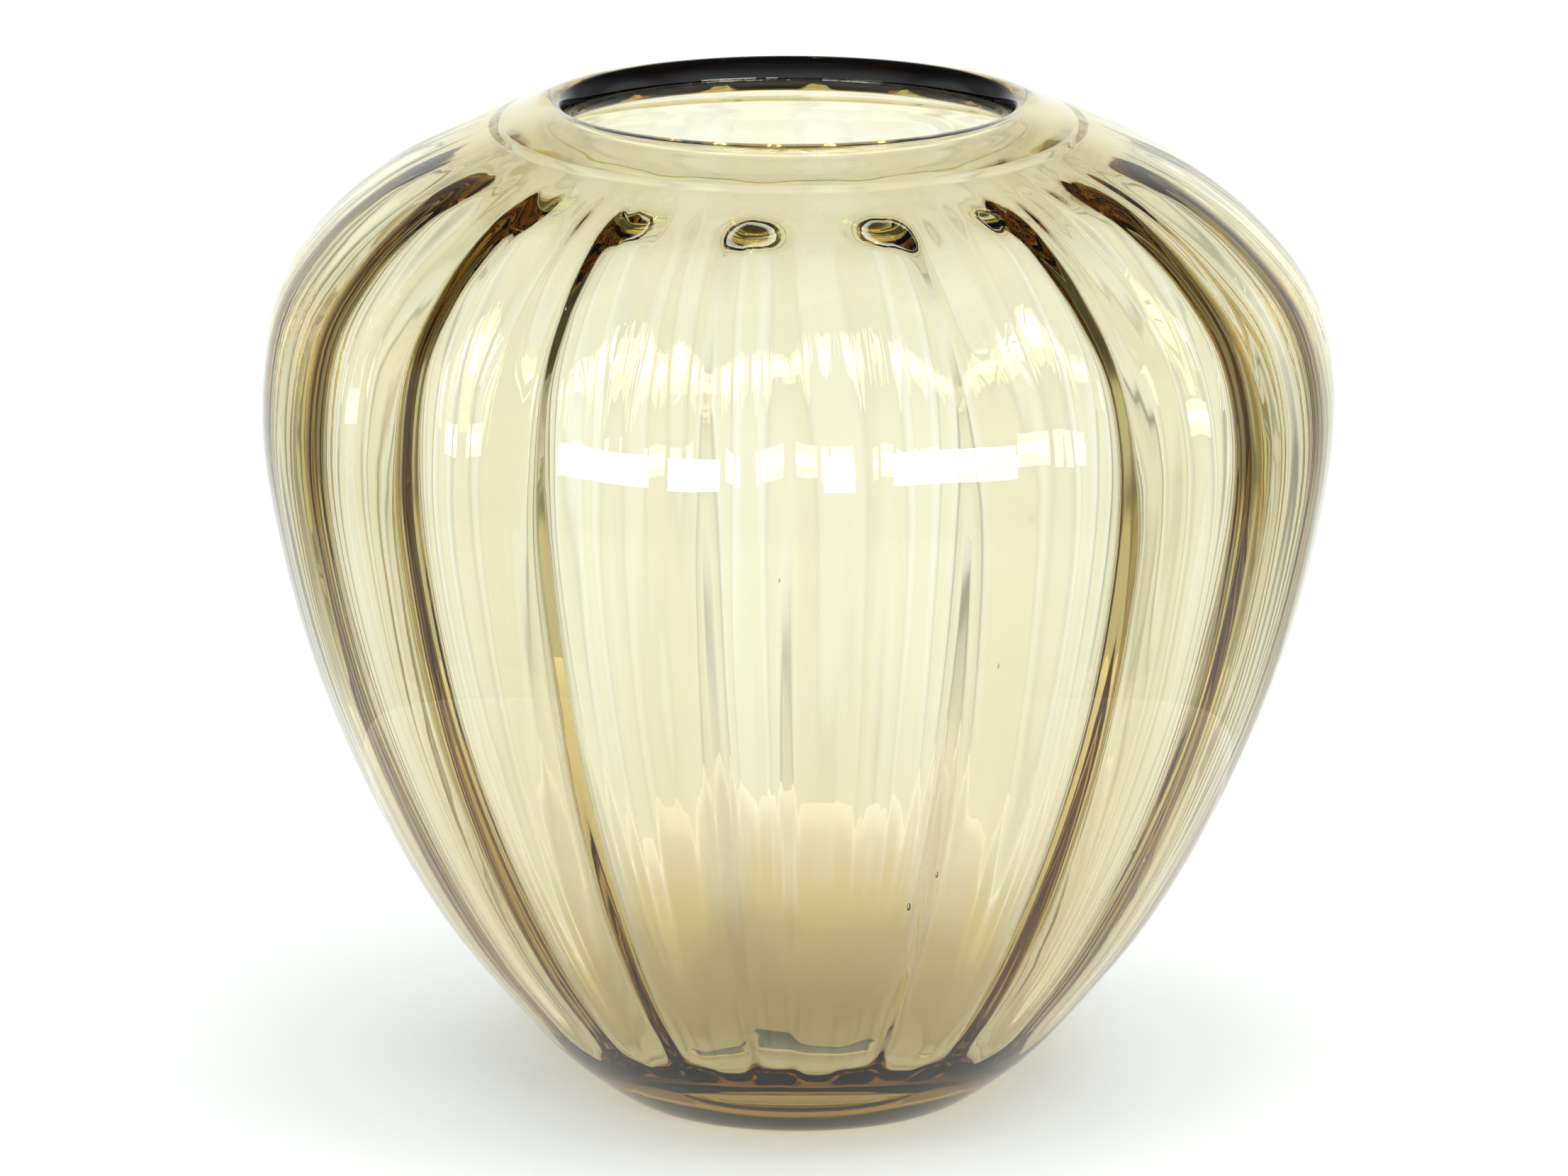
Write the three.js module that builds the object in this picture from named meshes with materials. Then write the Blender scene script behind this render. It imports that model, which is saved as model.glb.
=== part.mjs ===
// Hand-blown, optic-ribbed glass vase, in millimetres, +Z up, with its origin at the centre of the foot.
// The vase is one annealed piece of glass made of five gathers, fused hot one onto the other:
// a solid base, a ribbed bubble that holds the water, a smooth outer casing round the bubble,
// a plain collar where the bubble was necked in, and the rolled lip. Each gather is a solid of its own.

import * as THREE from "three";

const { degToRad, mapLinear, smoothstep } = THREE.MathUtils;

// Driving dimensions.
const HEIGHT = 200;
const FOOT_RADIUS = 28; // outer edge of the ground foot
const BELLY_RADIUS = 105; // widest, at the shoulder
const MOUTH_RADIUS = 43; // narrowest, inside the lip
const FLOOR_Z = 11; // inside floor, at the axis
const BASE_TOP_Z = 8; // top of the base gather
const CASING_WALL = 2; // thickness of the outer casing
const FUSE_GAP = 0.3; // clearance kept between neighbouring gathers
const DISH_RADIUS = 20; // hollow ground and polished where the pontil iron was cut off
const DISH_DEPTH = 1.3;

// Ribs left by the optic mould, which stand on the inside of the bubble.
const RIBS = 20;
const STEPS_PER_RIB = 6;
const RIB_HEIGHT = 3.4; // how far a full rib stands into the cavity, at the belly
const RIB_TAPER = 2; // power of the radius by which a rib gets lower where the bubble is narrower
const RIB_TURN = degToRad(4); // where the front rib stands, from -Y towards +X
const RIB_SPREAD = degToRad(4); // furthest that a rib stands from its even place
const PLAIN_STEPS = 64; // steps round a gather without ribs
const WALL_STEPS = 20; // steps up the outside of the casing, and of the bubble under it

// Outline of the outside, from the edge of the foot up to the crest of the lip, as [radius, height].
const OUTSIDE = [
  [FOOT_RADIUS, 0],
  [35.3, 3],
  [42, BASE_TOP_Z],
  [47, 12],
  [58, 24],
  [70.5, 40],
  [83, 62],
  [94, 88],
  [101.5, 115],
  [BELLY_RADIUS, 139],
  [101.6, 160],
  [91.3, 175],
  [78, 186],
  [63.4, 193.4],
  [50.5, 199],
  [45.4, HEIGHT],
];
const BASE_SEAM = 2; // point of OUTSIDE where the base ends
const COLLAR_SEAM = 13; // point of OUTSIDE, and of INSIDE, where the collar starts
const LIP_SEAM = 14; // point of OUTSIDE, and of INSIDE, where the lip starts

// Outline of the inside between the ribs, from the middle of the floor up to the lip.
const INSIDE = [
  [0, FLOOR_Z],
  [17, 11.3],
  [33, 13.2],
  [43.8, 18.8],
  [52.8, 28.5],
  [64.6, 44],
  [77.2, 65],
  [89, 90.2],
  [96.9, 116.4],
  [100.4, 139],
  [97.3, 158.8],
  [87.6, 172],
  [74.9, 181.1],
  [61, 186.8],
  [50.5, 189.4],
];

// Rolled part of the lip, from its crest round the mouth to its underside.
const LIP_ROLL = [
  [45.4, HEIGHT],
  [43.6, 198.4],
  [MOUTH_RADIUS, 195.6],
  [43.5, 192.5],
  [46.3, 190.2],
  [50.5, 189.4],
];

// Points of the smooth curve through an outline between two of its points, moved by `depth`
// towards the left of its run, which is into the glass for OUTSIDE and into the cavity for INSIDE.
function along(outline, from, to, steps, depth = 0) {
  const curve = new THREE.SplineCurve(outline.map(([r, z]) => new THREE.Vector2(r, z)));
  return Array.from({ length: steps + 1 }, (_, i) => {
    const place = mapLinear(i, 0, steps, from, to) / (outline.length - 1);
    const tangent = curve.getTangent(place);
    return curve.getPoint(place).add(new THREE.Vector2(-tangent.y, tangent.x).multiplyScalar(depth));
  });
}

// The stretch of a rising run of points that lies above a height, cut off level there.
function above(height, points) {
  const next = points.findIndex((point) => point.y > height);
  const share = mapLinear(height, points[next - 1].y, points[next].y, 0, 1);
  return [points[next - 1].clone().lerp(points[next], share), ...points.slice(next)];
}

// A seam runs straight through the wall. Each side of it is drawn back by half the gap:
// towards the foot on the lower gather, and towards the lip on the upper one.
function seam(place, towardsLip) {
  const outer = new THREE.Vector2(...OUTSIDE[place]);
  const inner = new THREE.Vector2(...INSIDE[place]);
  const through = outer.clone().sub(inner).normalize();
  const side = towardsLip ? 1 : -1;
  const back = new THREE.Vector2(-through.y, through.x).multiplyScalar((side * FUSE_GAP) / 2);
  outer.add(back);
  inner.add(back);
  return { outer, inner, atDepth: (depth) => outer.clone().addScaledVector(through, -depth) };
}

// A closed profile spun about the axis, with the glass on the left of its run.
function spun(profile, steps) {
  return new THREE.LatheGeometry([...profile, profile[0]], steps).rotateX(Math.PI / 2);
}

function baseGather() {
  const side = along(OUTSIDE, 0, BASE_SEAM, 4);
  const dish = [
    new THREE.Vector2(0, DISH_DEPTH),
    new THREE.Vector2(DISH_RADIUS * 0.55, DISH_DEPTH * 0.7),
    new THREE.Vector2(DISH_RADIUS, 0),
  ];
  return spun([...dish, ...side, new THREE.Vector2(0, BASE_TOP_Z)], PLAIN_STEPS);
}

function outerCasing() {
  const bottom = BASE_TOP_Z + FUSE_GAP;
  const wall = (depth) => above(bottom, along(OUTSIDE, BASE_SEAM - 1, COLLAR_SEAM, WALL_STEPS, depth)).slice(0, -1);
  const { outer, atDepth } = seam(COLLAR_SEAM, false);
  return spun([...wall(0), outer, atDepth(CASING_WALL), ...wall(CASING_WALL).reverse()], PLAIN_STEPS);
}

// How far a rib stands out at a place along INSIDE: it rises beside the floor and dies out under the collar.
function ribHeight(place, radius) {
  const growth = smoothstep(place, 2.2, 3.6) * (1 - smoothstep(place, 11.8, COLLAR_SEAM));
  return RIB_HEIGHT * (radius / BELLY_RADIUS) ** RIB_TAPER * growth;
}

// Angle of a column of the bubble, from -Y towards +X. The ribs stand a little wider apart at the front.
function columnAngle(column) {
  const even = (2 * Math.PI * column) / (RIBS * STEPS_PER_RIB);
  return even + RIB_TURN + RIB_SPREAD * Math.sin(even);
}

function ribbedBubble() {
  const bottom = BASE_TOP_Z + FUSE_GAP;
  const depth = CASING_WALL + FUSE_GAP;
  const outside = above(bottom, along(OUTSIDE, BASE_SEAM - 1, COLLAR_SEAM, WALL_STEPS, depth)).slice(0, -1);
  const { inner, atDepth } = seam(COLLAR_SEAM, false);
  const shell = [new THREE.Vector2(0, bottom), ...outside, atDepth(depth), inner];
  const insideSteps = 18;
  const groove = along(INSIDE, COLLAR_SEAM, 0, insideSteps).slice(1);
  const crest = along(INSIDE, COLLAR_SEAM, 0, insideSteps, 1).slice(1);

  const profile = [...shell, ...groove, shell[0]];
  const geometry = new THREE.LatheGeometry(profile, RIBS * STEPS_PER_RIB);
  const position = geometry.getAttribute("position");
  for (let i = 0; i < position.count; i++) {
    const column = Math.floor(i / profile.length);
    const row = (i % profile.length) - shell.length;
    const point = profile[i % profile.length].clone();
    if (row >= 0 && row < groove.length) {
      const wave = 0.5 + 0.5 * Math.cos((2 * Math.PI * column) / STEPS_PER_RIB);
      const place = mapLinear(row, -1, insideSteps - 1, COLLAR_SEAM, 0);
      point.lerp(crest[row], wave * ribHeight(place, point.x));
    }
    const angle = columnAngle(column);
    position.setXYZ(i, point.x * Math.sin(angle), point.y, point.x * Math.cos(angle));
  }
  geometry.computeVertexNormals();
  return geometry.rotateX(Math.PI / 2);
}

function collarRing() {
  const outside = along(OUTSIDE, COLLAR_SEAM, LIP_SEAM, 3).slice(1, -1);
  const inside = along(INSIDE, LIP_SEAM, COLLAR_SEAM, 3).slice(1, -1);
  const low = seam(COLLAR_SEAM, true);
  const high = seam(LIP_SEAM, false);
  return spun([low.outer, ...outside, high.outer, high.inner, ...inside, low.inner], PLAIN_STEPS);
}

function lipRoll() {
  const top = along(OUTSIDE, LIP_SEAM, OUTSIDE.length - 1, 2).slice(1, -1);
  const roll = along(LIP_ROLL, 0, LIP_ROLL.length - 1, 8).slice(0, -1);
  const { outer, inner } = seam(LIP_SEAM, true);
  return spun([outer, ...top, ...roll, inner], PLAIN_STEPS);
}

// One amber glass, deeper in colour where a gather is thicker.
function glass(color) {
  const clear = { transparent: true, opacity: 0.5 };
  return new THREE.MeshStandardMaterial({ color, roughness: 0.02, metalness: 0, ...clear });
}

const GATHERS = [
  ["base_gather", baseGather(), glass(0xa98f4c)],
  ["outer_casing", outerCasing(), glass(0xdedaae)],
  ["ribbed_bubble", ribbedBubble(), glass(0xd6cf9b)],
  ["collar_ring", collarRing(), glass(0xd2c684)],
  ["lip_roll", lipRoll(), glass(0x8c7336)],
];

const vase = new THREE.Group();
for (const [name, geometry, material] of GATHERS) {
  const mesh = new THREE.Mesh(geometry, material);
  mesh.name = name;
  vase.add(mesh);
}

export default vase;
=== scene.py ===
import math

import bpy
import numpy as np
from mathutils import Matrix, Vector


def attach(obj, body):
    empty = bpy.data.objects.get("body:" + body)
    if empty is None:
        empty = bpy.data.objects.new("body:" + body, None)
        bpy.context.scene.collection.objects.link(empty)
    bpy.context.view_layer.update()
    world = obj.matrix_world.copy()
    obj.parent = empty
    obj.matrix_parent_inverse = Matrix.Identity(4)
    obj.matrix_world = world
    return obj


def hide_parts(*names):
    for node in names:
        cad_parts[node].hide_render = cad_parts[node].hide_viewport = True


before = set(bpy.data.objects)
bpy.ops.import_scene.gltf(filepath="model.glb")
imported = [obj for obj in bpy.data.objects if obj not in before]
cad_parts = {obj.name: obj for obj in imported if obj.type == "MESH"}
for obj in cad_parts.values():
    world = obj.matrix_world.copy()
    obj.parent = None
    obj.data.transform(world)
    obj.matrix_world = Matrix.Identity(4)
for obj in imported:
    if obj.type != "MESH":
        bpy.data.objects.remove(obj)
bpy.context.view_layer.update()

MM = 0.001

# ---------------------------------------------------------------- shape of the glass, in millimetres
BELLY_RADIUS = 104.7
BELLY_HEIGHT = 139
FOOT_RADIUS = 28
FLOOR_HEIGHT = 11
LIP_HEIGHT = 199.7

# Outline from the middle of the foot up the outside to the crest of the lip, as (radius, height).
OUTSIDE = [
    (0, 1.3), (9, 1.1), (17, 0.5), (20.5, 0.15), (24, 0.04), (FOOT_RADIUS, 0.34), (35.3, 3.2), (47, 12),
    (58, 24), (70.5, 40), (83, 62), (94, 88), (101.4, 115), (BELLY_RADIUS, BELLY_HEIGHT), (101.5, 160),
    (91.3, 175), (78, 186), (63.4, 193.4), (55, 196.9), (50, 198.8), (46.5, LIP_HEIGHT),
]
# The rolled lip, from just past its crest round the mouth to its underside.
LIP = [(44.6, 199.3), (43.5, 197.6), (43.0, 195.2), (43.8, 193.5), (46.2, 192.5), (49.5, 191.3)]
# Outline of the inside between the ribs, from the lip down to the middle of the floor.
INSIDE = [
    (55, 189.6), (61.5, 187.5), (75.2, 181.9), (88.1, 172.6), (98.0, 159.1), (101.1, BELLY_HEIGHT),
    (97.7, 116.1), (89.8, 89.9), (78.0, 64.6), (65.0, 43.7), (52.9, 28.4), (43.8, 18.8), (33, 13.2),
    (17, 11.3), (0, FLOOR_HEIGHT),
]
OUTSIDE_STEPS = 4  # rings of the mesh to each stretch of the outside and the lip
INSIDE_STEPS = 9  # and to each stretch of the inside, where the ribs are
MOUTH_SHIFT = -1.9  # how far the mouth leans over to -X
MOUTH_LEAN = (140, 195)  # heights between which the vase leans over to it

# Ribs left by the optic mould, which stand on the inside.
RIBS = 20
COLUMNS_PER_RIB = 21
RIB_HEIGHT = 3.5
RIB_TAPER_BELOW = 1.5  # power of the radius by which a rib gets lower from the belly down
RIB_TAPER_ABOVE = 2.4  # and from the belly up
RIB_SHARPNESS = 2.5  # how steep the sides of a rib are
RIB_BREADTH = 0.3  # how much wider a rib is than a groove
RIB_TURN = 4  # degrees from the front to the first rib
RIB_SPREAD = 4  # degrees by which the ribs stand wider apart at the front
RIB_LEAN = 2  # degrees by which the ribs at both sides are moved round to +X
GROOVES_BY_FLOOR = (39, 47)  # radii between which the grooves open, beside the floor
RIBS_BY_COLLAR = (49, 61)  # radii between which the ribs rise, under the collar
GROOVES_BY_COLLAR = (61, 77)  # radii between which the grooves open there
FRONT_LOSS = 0.15  # share of its height that a rib lacks at the front, where the wall was blown thinner
FRONT_ARC = (48, 28)  # degrees from the front where that loss starts, and where it is whole
FLUTE_HEIGHT = 0.3  # depth of the faint flutes outside, over the ribs of the shoulder
FLUTES_START = (110, 165)  # heights between which the flutes deepen
FLUTES_END = (180, 192)  # heights between which they die out
STRIA_HEIGHT = 0.065  # height of the fine upright ripples inside
STRIA_DRIFT = 40  # height over which a ripple wanders sideways
STRIAE_START = (55, 75)  # radii between which the ripples rise
STRIAE_THIN_OUT = (55, 100)  # heights between which they grow from few to many

# Patches of small wrinkles where the glass was chilled, as (degrees from the front, height).
WRINKLES = [(-41, 82), (30, 80), (49, 95), (24, 134)]
WRINKLE_HEIGHT = 0.16
WRINKLE_WIDTH = 0.9  # in degrees
WRINKLE_SWAY = 0.9  # how far a wrinkle snakes aside, in degrees
WRINKLE_STEP = 1.6  # height over which it snakes
WRINKLE_REACH = 7  # height from its middle over which it dies out
# Air bubbles caught in the wall, as (degrees from the front, height, half of the length).
BUBBLES = [
    (56, 59.5, 1.3), (18.6, 64.5, 0.7), (15.4, 57.7, 0.9),
    (22.6, 108, 0.5), (-29, 174, 0.5), (-2, 127, 0.4),
]
BUBBLE_DEPTH = 2  # how far below the outside they lie
BUBBLE_SLIMNESS = 0.4  # width of a bubble for each unit of its length
BUBBLE_SIDES = 12
BUBBLE_LEVELS = 9

GLASS_TINT = (0.80, 0.70, 0.33)
GLASS_DEPTH = 76  # how strongly the tint grows with each metre of glass
GLASS_IOR = 1.5


def smooth_curve(points, steps):
    """Points along a Catmull-Rom curve through the given ones, a number of steps to each stretch."""
    p = np.array(points, float)
    p = np.vstack([2 * p[0] - p[1], p, 2 * p[-1] - p[-2]])
    run = []
    for p0, p1, p2, p3, count in zip(p, p[1:], p[2:], p[3:], steps):
        for t in np.linspace(0, 1, count, endpoint=False):
            run.append(0.5 * (2 * p1 + (p2 - p0) * t + (2 * p0 - 5 * p1 + 4 * p2 - p3) * t**2
                              + (3 * p1 - p0 - 3 * p2 + p3) * t**3))
    run.append(p[-2])
    return np.array(run)


def ease(value, low, high):
    """0 below low, 1 above high, and smooth between them."""
    t = np.clip((value - low) / (high - low), 0, 1)
    return t * t * (3 - 2 * t)


def logistic(value):
    """A step with soft ends, which shapes the sides of a rib."""
    return 1 / (1 + np.exp(-RIB_SHARPNESS * (value + RIB_BREADTH)))


def rib_wave(angle):
    """1 on the crest of a rib and 0 in the middle of the groove between two."""
    start = np.radians(RIB_TURN + RIB_SPREAD * np.sin(angle) + RIB_LEAN * np.sin(angle) ** 2)
    wave = np.cos(RIBS * (angle - start))
    return (logistic(wave) - logistic(-1)) / (logistic(1) - logistic(-1))


def fullness(angle):
    """How much of its height a rib has."""
    start, whole = (math.cos(math.radians(degrees)) for degrees in FRONT_ARC)
    return 1 - FRONT_LOSS * ease(np.cos(angle), start, whole)


def striae(angle, height):
    """Fine upright ripples, all of them uneven, and fewer towards the base.

    They are four waves whose counts round the vase never fall into step.
    """
    slow = height / STRIA_DRIFT
    ripple = np.sin(53 * angle + 2.1 * np.sin(slow)) + np.sin(79 * angle + 1.3 * slow)
    ripple += np.sin(37 * angle - slow) + 0.6 * np.sin(131 * angle + 3 * np.sin(0.7 * slow))
    swell = 0.6 + 0.4 * np.sin(5 * angle + 0.9 * slow)
    return ripple * swell * (0.2 + 0.8 * ease(height, *STRIAE_THIN_OUT))


def wrinkles(angle, height):
    """Short waves down the wall in a few narrow patches."""
    total = np.zeros_like(angle)
    for place, middle in WRINKLES:
        aside = (np.degrees(angle) - place + 180) % 360 - 180
        snake = aside - WRINKLE_SWAY * math.sin((height - middle) / WRINKLE_STEP)
        fade = math.exp(-((height - middle) / WRINKLE_REACH) ** 2)
        total += np.exp(-(snake / WRINKLE_WIDTH) ** 2) * fade
    return WRINKLE_HEIGHT * total


def relief_inside(angle, radius, height):
    """How far the inside stands out of its outline."""
    above = height > BELLY_HEIGHT
    crest = RIB_HEIGHT * (radius / BELLY_RADIUS) ** (RIB_TAPER_ABOVE if above else RIB_TAPER_BELOW)
    groove = ease(radius, *GROOVES_BY_FLOOR)
    if above:
        crest *= ease(radius, *RIBS_BY_COLLAR)
        groove = ease(radius, *GROOVES_BY_COLLAR)
    ribs = crest * fullness(angle) * (1 - groove * (1 - rib_wave(angle)))
    ripples = STRIA_HEIGHT * ease(radius, *STRIAE_START) * striae(angle, height)
    return ribs + ripples + wrinkles(angle, height)


def relief_outside(angle, height):
    """How far the outside stands back from its outline: it sinks a little over each rib of the shoulder."""
    shoulder = ease(height, *FLUTES_START) * (1 - ease(height, *FLUTES_END))
    return -FLUTE_HEIGHT * shoulder * rib_wave(angle)


def grid_faces(rows, columns, start=0):
    """Faces of a closed skin of rings from one pole to another; both poles are numbered after the rings."""
    ring = start + np.arange(rows * columns).reshape(rows, columns)
    after = np.roll(ring, -1, 1)
    faces = np.stack([ring[:-1], after[:-1], after[1:], ring[1:]], -1).reshape(-1, 4).tolist()
    first, last = start + ring.size, start + ring.size + 1
    faces += [[first, int(b), int(a)] for a, b in zip(ring[0], after[0])]
    faces += [[last, int(a), int(b)] for a, b in zip(ring[-1], after[-1])]
    return faces


def vase_skin():
    """The whole vase as one closed skin: round the outside from the foot, over the lip and down the inside."""
    outer_steps = [OUTSIDE_STEPS] * (len(OUTSIDE) + len(LIP))
    profile = smooth_curve(OUTSIDE + LIP + INSIDE, outer_steps + [INSIDE_STEPS] * (len(INSIDE) - 1))
    tangent = np.gradient(profile, axis=0)
    tangent /= np.hypot(*tangent.T)[:, None]
    angle = np.linspace(0, 2 * math.pi, RIBS * COLUMNS_PER_RIB, endpoint=False)
    rings = []
    for row in range(1, len(profile) - 1):
        radius, height = profile[row]
        inside = row > sum(outer_steps)
        depth = relief_inside(angle, radius, height) if inside else relief_outside(angle, height)
        heights = height - tangent[row, 0] * depth
        radii = radius + tangent[row, 1] * depth
        shift = MOUTH_SHIFT * ease(heights, *MOUTH_LEAN)
        rings.append(np.stack([radii * np.sin(angle) + shift, -radii * np.cos(angle), heights], 1))
    poles = [[0, 0, profile[0, 1]], [0, 0, profile[-1, 1]]]
    return np.concatenate(rings + [poles]), grid_faces(len(rings), len(angle))


def air_bubble(degrees, height, half_length, start):
    """A small upright hollow in the wall, its skin facing into the hollow."""
    outline = smooth_curve(OUTSIDE, [OUTSIDE_STEPS] * (len(OUTSIDE) - 1))
    radius = np.interp(height, outline[:, 1], outline[:, 0]) - BUBBLE_DEPTH
    place = math.radians(degrees)
    middle = [radius * math.sin(place), -radius * math.cos(place), height]
    around = np.linspace(0, 2 * math.pi, BUBBLE_SIDES, endpoint=False)
    rings = []
    for polar in np.linspace(0, math.pi, BUBBLE_LEVELS)[1:-1]:
        across = BUBBLE_SLIMNESS * half_length * math.sin(polar)
        level = np.full(BUBBLE_SIDES, half_length * math.cos(polar))
        rings.append(np.stack([across * np.sin(around), -across * np.cos(around), level], 1))
    poles = [[0, 0, half_length], [0, 0, -half_length]]
    return np.concatenate(rings + [poles]) + middle, grid_faces(len(rings), BUBBLE_SIDES, start)


def glass_mesh():
    """The skin of the vase and, inside the glass, those of its air bubbles."""
    places, faces = vase_skin()
    for degrees, height, half_length in BUBBLES:
        more_places, more_faces = air_bubble(degrees, height, half_length, len(places))
        places = np.concatenate([places, more_places])
        faces += more_faces
    mesh = bpy.data.meshes.new("vase_glass")
    mesh.from_pydata((places * MM).tolist(), [], faces)
    mesh.shade_smooth()
    return mesh


def glass_material():
    """Clear glass that takes its amber colour from the length of the light's way through it."""
    mat = bpy.data.materials.new("amber_glass")
    mat.use_nodes = True
    nodes, links = mat.node_tree.nodes, mat.node_tree.links
    bsdf = nodes["Principled BSDF"]
    bsdf.inputs["Base Color"].default_value = (1, 1, 1, 1)
    bsdf.inputs["Roughness"].default_value = 0
    bsdf.inputs["IOR"].default_value = GLASS_IOR
    bsdf.inputs["Transmission Weight"].default_value = 1
    volume = nodes.new("ShaderNodeVolumeAbsorption")
    volume.inputs["Color"].default_value = (*GLASS_TINT, 1)
    volume.inputs["Density"].default_value = GLASS_DEPTH
    links.new(volume.outputs[0], nodes["Material Output"].inputs["Volume"])
    return mat


vase = bpy.data.objects.new("vase_glass", glass_mesh())
bpy.context.scene.collection.objects.link(vase)
vase.data.materials.append(glass_material())
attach(vase, "root")
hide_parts("base_gather", "outer_casing", "ribbed_bubble", "collar_ring", "lip_roll")

# ---------------------------------------------------------------- studio, in metres
FLOOR_RADIUS = 0.21
FLOOR_PALE = (0.85, 0.87, 0.86)
PAINTED_AMBER_LIGHT = (0.74, 0.68, 0.44)  # painted amber light: the floor's colour and glow turn amber here, standing in for light tinted by the glass
FLOOR_GLOW = 0.38
RIM_GLOW = 0.6  # the floor fades into the backdrop at its rim
RIM_START = 0.88  # share of the floor's radius where that begins
FLOOR_ROUGHNESS = 0.9
FLOOR_SIDES = 96
# Middle and reach of the painted oval of amber light behind the vase
PAINTED_AMBER_MIDDLE = (0, 0.075, 0)
PAINTED_AMBER_REACH = (0.062, 0.13, 1)
PAINTED_AMBER_EDGE = (0.5, 1.1)  # share of the reach over which the painted amber light fades
MIX_FACTOR, MIX_FIRST, MIX_SECOND, MIX_RESULT = 0, 6, 7, 2  # sockets of a mix of colours
BACKDROP = 1.0  # strength of the light straight behind the vase
SIDES = 0.26  # strength of the light from the sides
FRONT = 0.85  # strength of the light from the front, which lies behind the vase in a view from the back
BACKDROP_EDGE = (0.72, 1.0)  # part of the way from the sides to straight behind where it grows
FRONT_EDGE = (-0.15, -0.75)  # part of the way from the sides to the front where that light grows
END_LIGHT = 0.45  # what is added straight to the left and right
END_EDGE = (0.9, 0.99)  # part of the way from the middle to the sides where it grows
GROUND_LIGHT = 0.5  # what is added well below the horizon
GROUND_EDGE = (-0.3, -0.42)  # part of the way down where it grows
CEILING = 0.25  # strength of the light from above, for each unit of the light at the horizon
CEILING_EDGE = (0.25, 0.6)  # part of the way up where the light sinks to the ceiling's
ROOM_TINT = (0.90, 0.965, 0.94)
SOFTBOX_AIM = 0.14  # height on the axis that the soft lights face
# Soft lights, as (name, azimuth, elevation, distance, width, height, power).
OVERHEAD = ("overhead", 20, 78, 2.2, 2.4, 2.4, 34)
WINDOWS = [
    ("window_left", -41, 0.3, 2, 0.74, 0.32, 6),
    ("window_left_pane", -22.5, 0, 2, 0.31, 0.33, 2.6),
    ("window_right_pane", 8.5, 2, 2, 0.2, 0.4, 2),
    ("window_right", 31.5, 2.8, 2, 1.05, 0.38, 9.5),
]
# Bright strips in the windows, which draw the two white bars in the mouth.
LAMPS = [
    ("lamp_left", -36, 0.3, 1.98, 0.36, 0.12, 4),
    ("lamp_left_pane", -22.5, 0, 1.98, 0.3, 0.12, 3.5),
    ("lamp_right", 34, 2.8, 1.98, 0.9, 0.12, 10),
]


def map_range(nodes, value, span, levels):
    """A node that turns a span of values smoothly into a span of levels."""
    node = nodes.new("ShaderNodeMapRange")
    node.interpolation_type = "SMOOTHSTEP"
    for name, number in zip(("From Min", "From Max", "To Min", "To Max"), (*span, *levels)):
        node.inputs[name].default_value = number
    node.id_data.links.new(value, node.inputs["Value"])
    return node.outputs["Result"]


def vector_step(nodes, operation, first, second=(0, 0, 0)):
    """A node that works on two vectors, the second of them fixed."""
    node = nodes.new("ShaderNodeVectorMath")
    node.operation = operation
    node.inputs[1].default_value = second
    node.id_data.links.new(first, node.inputs[0])
    return node.outputs["Value" if operation == "LENGTH" else "Vector"]


def floor_material():
    """Pale and faintly glowing, with a painted oval of amber light behind the vase, in both its colour and its
    glow.
    """
    mat = bpy.data.materials.new("studio_floor")
    mat.use_nodes = True
    nodes, links = mat.node_tree.nodes, mat.node_tree.links
    position = nodes.new("ShaderNodeNewGeometry").outputs["Position"]
    away = vector_step(nodes, "LENGTH", position)
    glow = map_range(nodes, away, (RIM_START * FLOOR_RADIUS, FLOOR_RADIUS), (FLOOR_GLOW, RIM_GLOW))
    # Painted amber light: an oval behind the vase where the floor's colour and glow turn amber, standing in
    # for light tinted by the glass
    aside = vector_step(nodes, "SUBTRACT", position, PAINTED_AMBER_MIDDLE)
    reach = vector_step(nodes, "LENGTH", vector_step(nodes, "DIVIDE", aside, PAINTED_AMBER_REACH))
    colour = nodes.new("ShaderNodeMix")
    colour.data_type = "RGBA"
    colour.inputs[MIX_FIRST].default_value = (*FLOOR_PALE, 1)
    colour.inputs[MIX_SECOND].default_value = (*PAINTED_AMBER_LIGHT, 1)
    links.new(map_range(nodes, reach, PAINTED_AMBER_EDGE, (1, 0)), colour.inputs[MIX_FACTOR])
    bsdf = nodes["Principled BSDF"]
    bsdf.inputs["Roughness"].default_value = FLOOR_ROUGHNESS
    links.new(colour.outputs[MIX_RESULT], bsdf.inputs["Base Color"])
    links.new(colour.outputs[MIX_RESULT], bsdf.inputs["Emission Color"])
    links.new(glow, bsdf.inputs["Emission Strength"])
    return mat


def studio_floor():
    """A round disc that the vase stands on."""
    turns = np.linspace(0, 2 * math.pi, FLOOR_SIDES, endpoint=False)
    ring = [(FLOOR_RADIUS * math.cos(turn), FLOOR_RADIUS * math.sin(turn), 0) for turn in turns]
    mesh = bpy.data.meshes.new("studio_floor")
    mesh.from_pydata(ring, [], [list(range(len(ring)))])
    mesh.materials.append(floor_material())
    disc = bpy.data.objects.new("studio_floor", mesh)
    bpy.context.scene.collection.objects.link(disc)


def softbox(name, azimuth, elevation, distance, width, height, power):
    """A soft light that faces the vase from a direction seen from it; azimuth from the front towards +X."""
    a, e = math.radians(azimuth), math.radians(elevation)
    light = bpy.data.lights.new(name, "AREA")
    light.shape = "RECTANGLE"
    light.size, light.size_y = width, height
    light.energy = power
    lamp = bpy.data.objects.new(name, light)
    target = Vector((0, 0, SOFTBOX_AIM))
    place = target + distance * Vector((math.sin(a) * math.cos(e), -math.cos(a) * math.cos(e), math.sin(e)))
    lamp.location = place
    lamp.rotation_mode = "QUATERNION"
    lamp.rotation_quaternion = (place - target).to_track_quat("Z", "Y")
    lamp.visible_camera = False
    bpy.context.scene.collection.objects.link(lamp)
    return lamp


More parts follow.
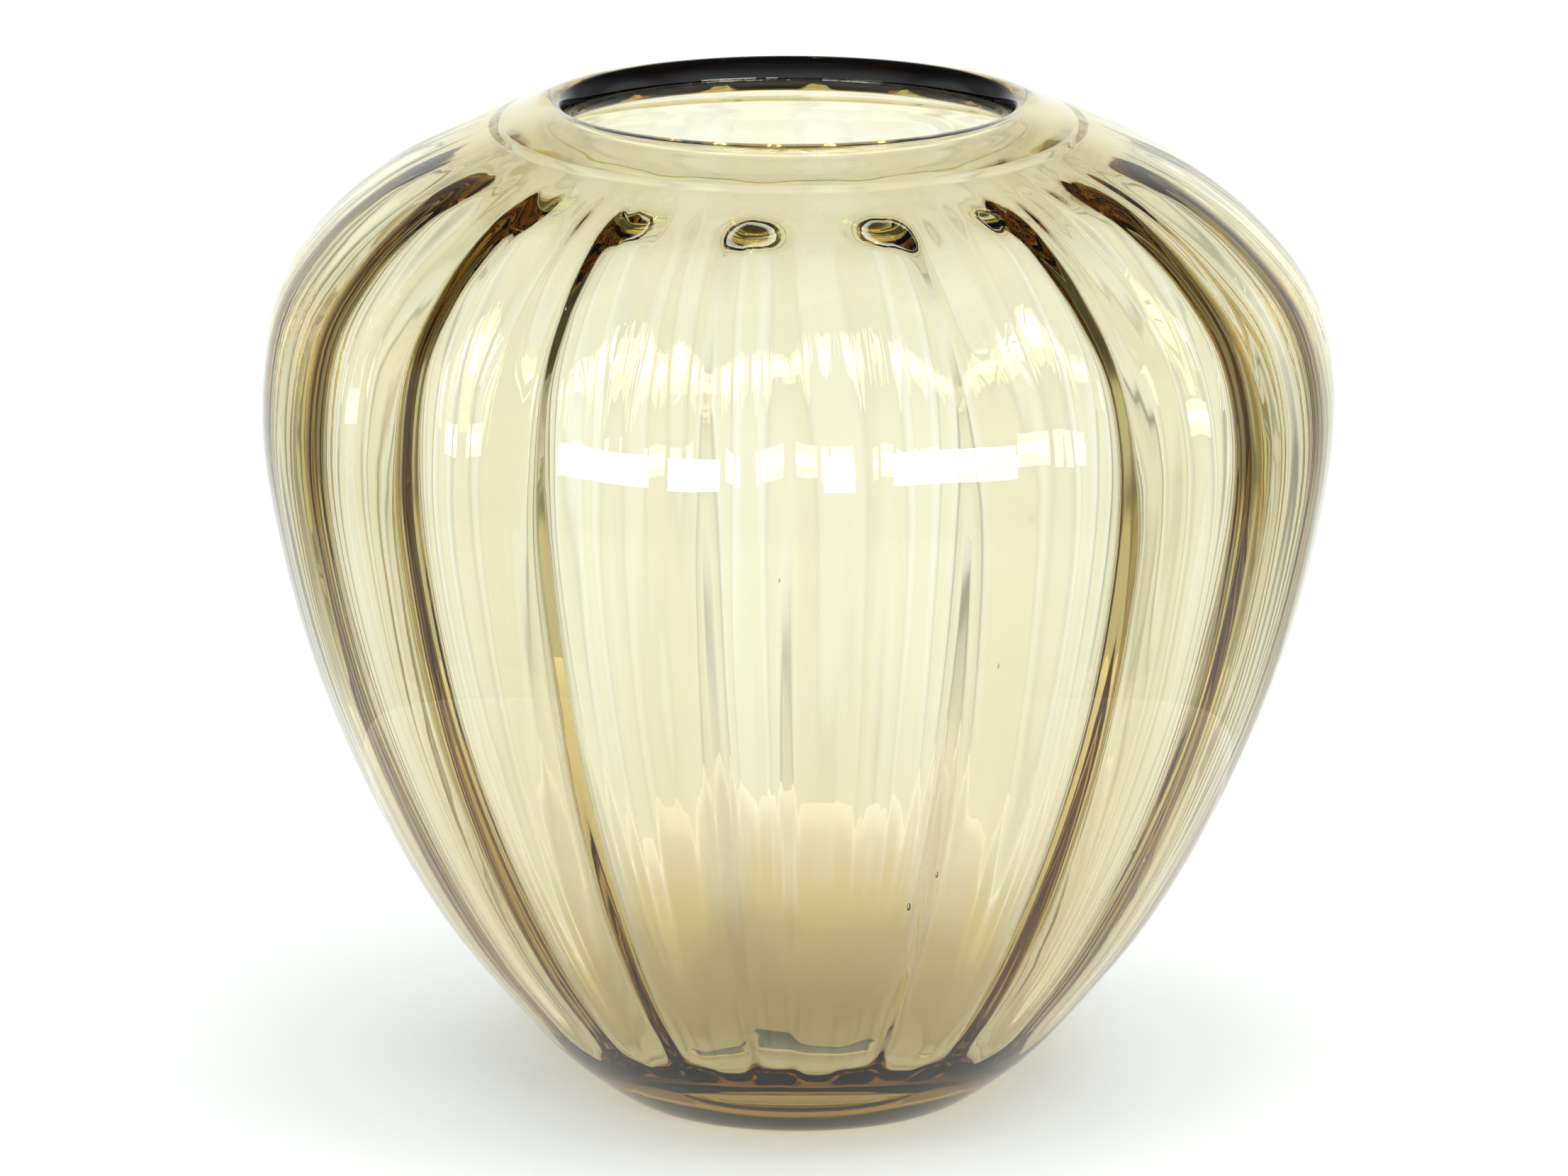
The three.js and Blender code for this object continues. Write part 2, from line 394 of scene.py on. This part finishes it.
def studio_world():
    """Bright straight behind the vase and dim all round, so that the ribs draw dark lines in the glass."""
    world = bpy.data.worlds.new("studio")
    bpy.context.scene.world = world
    world.use_nodes = True
    nodes, links = world.node_tree.nodes, world.node_tree.links
    seen_in_glass = nodes["Background"]
    axes = nodes.new("ShaderNodeSeparateXYZ")
    links.new(nodes.new("ShaderNodeTexCoord").outputs["Generated"], axes.inputs[0])
    ramp = nodes.new("ShaderNodeValToRGB")
    links.new(axes.outputs["Z"], ramp.inputs["Fac"])
    for element, position, level in zip(ramp.color_ramp.elements, CEILING_EDGE, (1, CEILING)):
        element.position = position
        element.color = (*(level * channel for channel in ROOM_TINT), 1)
    links.new(ramp.outputs["Color"], seen_in_glass.inputs["Color"])
    ends = nodes.new("ShaderNodeMath")
    ends.operation = "ABSOLUTE"
    links.new(axes.outputs["X"], ends.inputs[0])
    strength = map_range(nodes, axes.outputs["Y"], BACKDROP_EDGE, (SIDES, BACKDROP))
    for value, edge, more in (
        (axes.outputs["Y"], FRONT_EDGE, FRONT - SIDES),
        (axes.outputs["Z"], GROUND_EDGE, GROUND_LIGHT),
        (ends.outputs[0], END_EDGE, END_LIGHT),
    ):
        total = nodes.new("ShaderNodeMath")
        links.new(strength, total.inputs[0])
        links.new(map_range(nodes, value, edge, (0, more)), total.inputs[1])
        strength = total.outputs[0]
    links.new(strength, seen_in_glass.inputs["Strength"])
    plain = nodes.new("ShaderNodeBackground")
    plain.inputs["Color"].default_value = (1, 1, 1, 1)
    plain.inputs["Strength"].default_value = BACKDROP
    either = nodes.new("ShaderNodeMixShader")
    links.new(nodes.new("ShaderNodeLightPath").outputs["Is Camera Ray"], either.inputs[0])
    links.new(seen_in_glass.outputs[0], either.inputs[1])
    links.new(plain.outputs[0], either.inputs[2])
    links.new(either.outputs[0], nodes["World Output"].inputs["Surface"])


studio_floor()
studio_world()
overhead = softbox(*OVERHEAD)
overhead.visible_glossy = False
overhead.visible_transmission = False
for light in WINDOWS + LAMPS:
    softbox(*light)

# ---------------------------------------------------------------- camera
DISTANCE = 3
ELEVATION = math.radians(12.55)
VIEW_WIDTH = 0.30618  # width of the view, at the vase
AIM_HEIGHT = 0.1
AIM_ASIDE = -0.0027  # how far the middle of the view lies from that point of the axis, towards +X
AIM_ABOVE = 0.002616  # and across the line of sight, upwards
SENSOR_WIDTH = 36
CLIP_END = 100
EXPOSURE = 0.35
BOUNCES = {"max_bounces": 32, "transmission_bounces": 32, "glossy_bounces": 16, "diffuse_bounces": 4}


def front_camera():
    """A long lens that looks slightly down on the vase from the front."""
    data = bpy.data.cameras.new("camera")
    data.sensor_width = SENSOR_WIDTH
    data.lens = SENSOR_WIDTH * DISTANCE / VIEW_WIDTH
    data.clip_end = CLIP_END
    camera = bpy.data.objects.new("camera", data)
    up = Vector((0, math.sin(ELEVATION), math.cos(ELEVATION)))
    aim = Vector((AIM_ASIDE, 0, AIM_HEIGHT)) + AIM_ABOVE * up
    camera.location = aim + DISTANCE * Vector((0, -math.cos(ELEVATION), math.sin(ELEVATION)))
    camera.rotation_euler = (math.pi / 2 - ELEVATION, 0, 0)
    bpy.context.scene.collection.objects.link(camera)
    bpy.context.scene.camera = camera


def light_paths():
    """Enough bounces for light to cross the lip and both walls."""
    scene = bpy.context.scene
    scene.view_settings.view_transform = "Standard"
    scene.view_settings.exposure = EXPOSURE
    scene.cycles.use_denoising = True
    scene.cycles.caustics_reflective = False
    scene.cycles.caustics_refractive = True
    for name, count in BOUNCES.items():
        setattr(scene.cycles, name, count)


front_camera()
light_paths()

bpy.context.view_layer.update()
